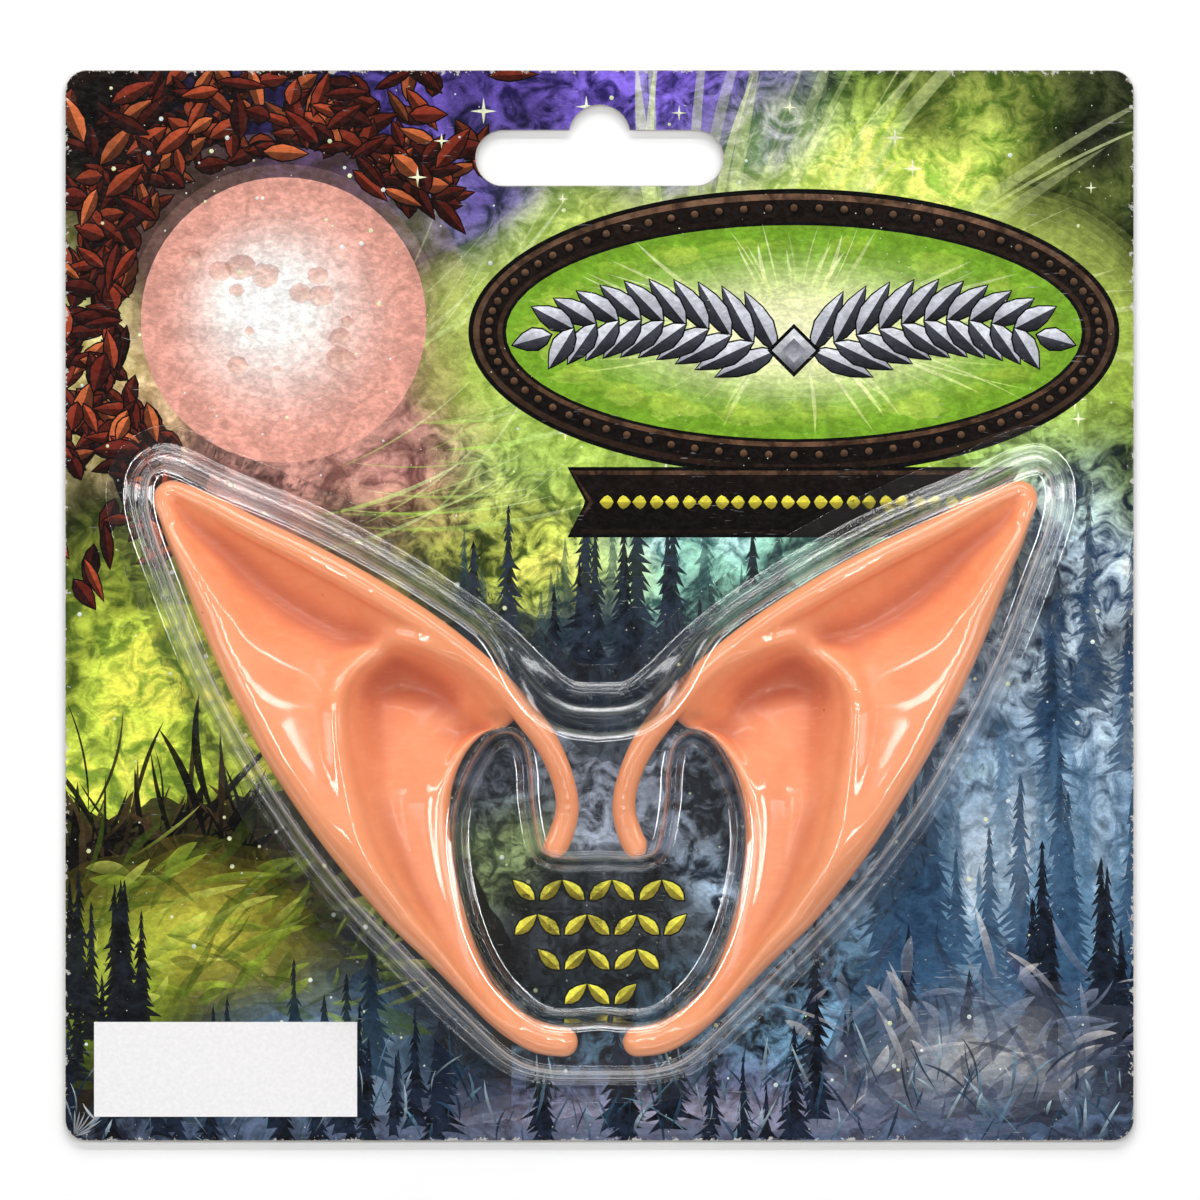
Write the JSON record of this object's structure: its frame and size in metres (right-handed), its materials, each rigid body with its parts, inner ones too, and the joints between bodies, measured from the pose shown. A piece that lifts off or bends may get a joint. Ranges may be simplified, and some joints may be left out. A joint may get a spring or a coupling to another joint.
{
  "type": "pair of elf ear tips on a blister card",
  "caption": "Pair of pointed hollow latex ear tips with a free hook and a lobe hook each, held on a printed hanging card by one clear formed blister.",
  "frame": {"origin": "middle of the card's back face", "axes": "+Z out of the printed face, +Y towards the hang slot, +X to the right seen from the front"},
  "size_m": [0.176, 0.1764, 0.0205],
  "materials": {
    "printed_card": "glossy varnished print",
    "label_paper": "smooth matt paper",
    "latex": "skin-coloured satin latex",
    "clear_plastic": "clear glossy film"
  },
  "bodies": {
    "root": {"backing_card": "printed_card", "label": "label_paper", "ear_left": "latex", "ear_right": "latex", "blister": "clear_plastic"}
  },
  "joints": []
}
